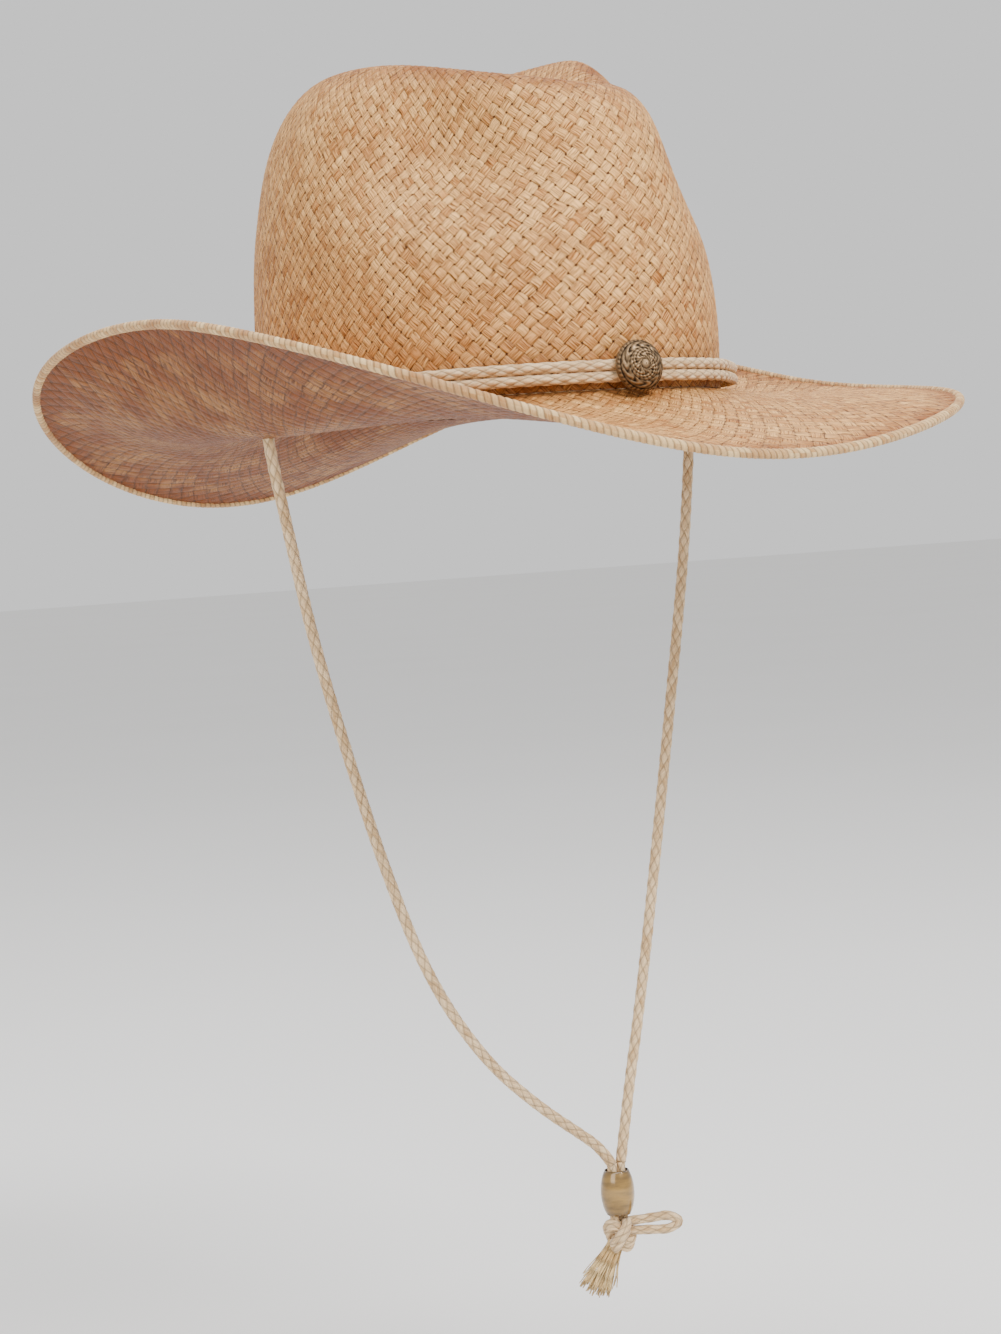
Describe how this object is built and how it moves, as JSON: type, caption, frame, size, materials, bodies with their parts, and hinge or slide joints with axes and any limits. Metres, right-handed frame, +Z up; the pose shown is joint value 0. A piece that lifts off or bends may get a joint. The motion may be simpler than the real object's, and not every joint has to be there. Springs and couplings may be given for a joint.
{
  "type": "cowboy hat",
  "caption": "Woven straw cowboy hat with a pinched crown, curled brim, cord band with a domed metal concho, and a braided chin cord with a sliding bead and frayed end",
  "frame": {"origin": "centre of the head opening, at the height where the crown meets the brim", "axes": "+Z up through the crown, -Y to the front of the hat, +X to the wearer's left"},
  "size_m": [0.315, 0.3692, 0.5047],
  "materials": {
    "crown_straw": "woven raffia straw, slightly glossy strips",
    "brim_straw": "woven raffia straw, slightly glossy strips",
    "edge_straw": "overcast rolled straw",
    "wire": "plain drawn wire",
    "sweatband_cloth": "cotton twill",
    "thread": "cotton thread",
    "cord": "braided natural cotton",
    "antique_brass": "antique brass, dark in the engraving",
    "bead_metal": "lacquered antique brass"
  },
  "bodies": {
    "root": {"crown": "crown_straw", "brim": "brim_straw", "brim_edge_roll": "edge_straw", "brim_wire": "wire", "sweatband": "sweatband_cloth", "sweatband_stitches": "thread", "hat_band_cord_lower": "cord", "hat_band_cord_upper": "cord", "chin_cord_right": "cord", "chin_cord_left": "cord", "chin_cord_knot_right": "cord", "chin_cord_knot_left": "cord", "chin_cord_pair": "cord", "chin_cord_end_knot": "cord", "chin_cord_loop": "cord", "chin_cord_tassel": "cord"},
    "concho": {"concho_dome": "antique_brass", "concho_back": "antique_brass", "concho_shank": "antique_brass"},
    "bead": {"chin_bead": "bead_metal"}
  },
  "joints": [
    {"name": "concho_slide", "type": "hinge", "parent": "root", "child": "concho", "pos_m": [0, -0.03619, 0], "axis": [0, 0, 1], "range_deg": [-10, 10]},
    {"name": "bead_slide", "type": "slide", "parent": "root", "child": "bead", "axis": [0, 0, 1], "range_m": [0, 0.1], "deforming": ["chin_cord_right", "chin_cord_left", "chin_cord_pair"]}
  ]
}
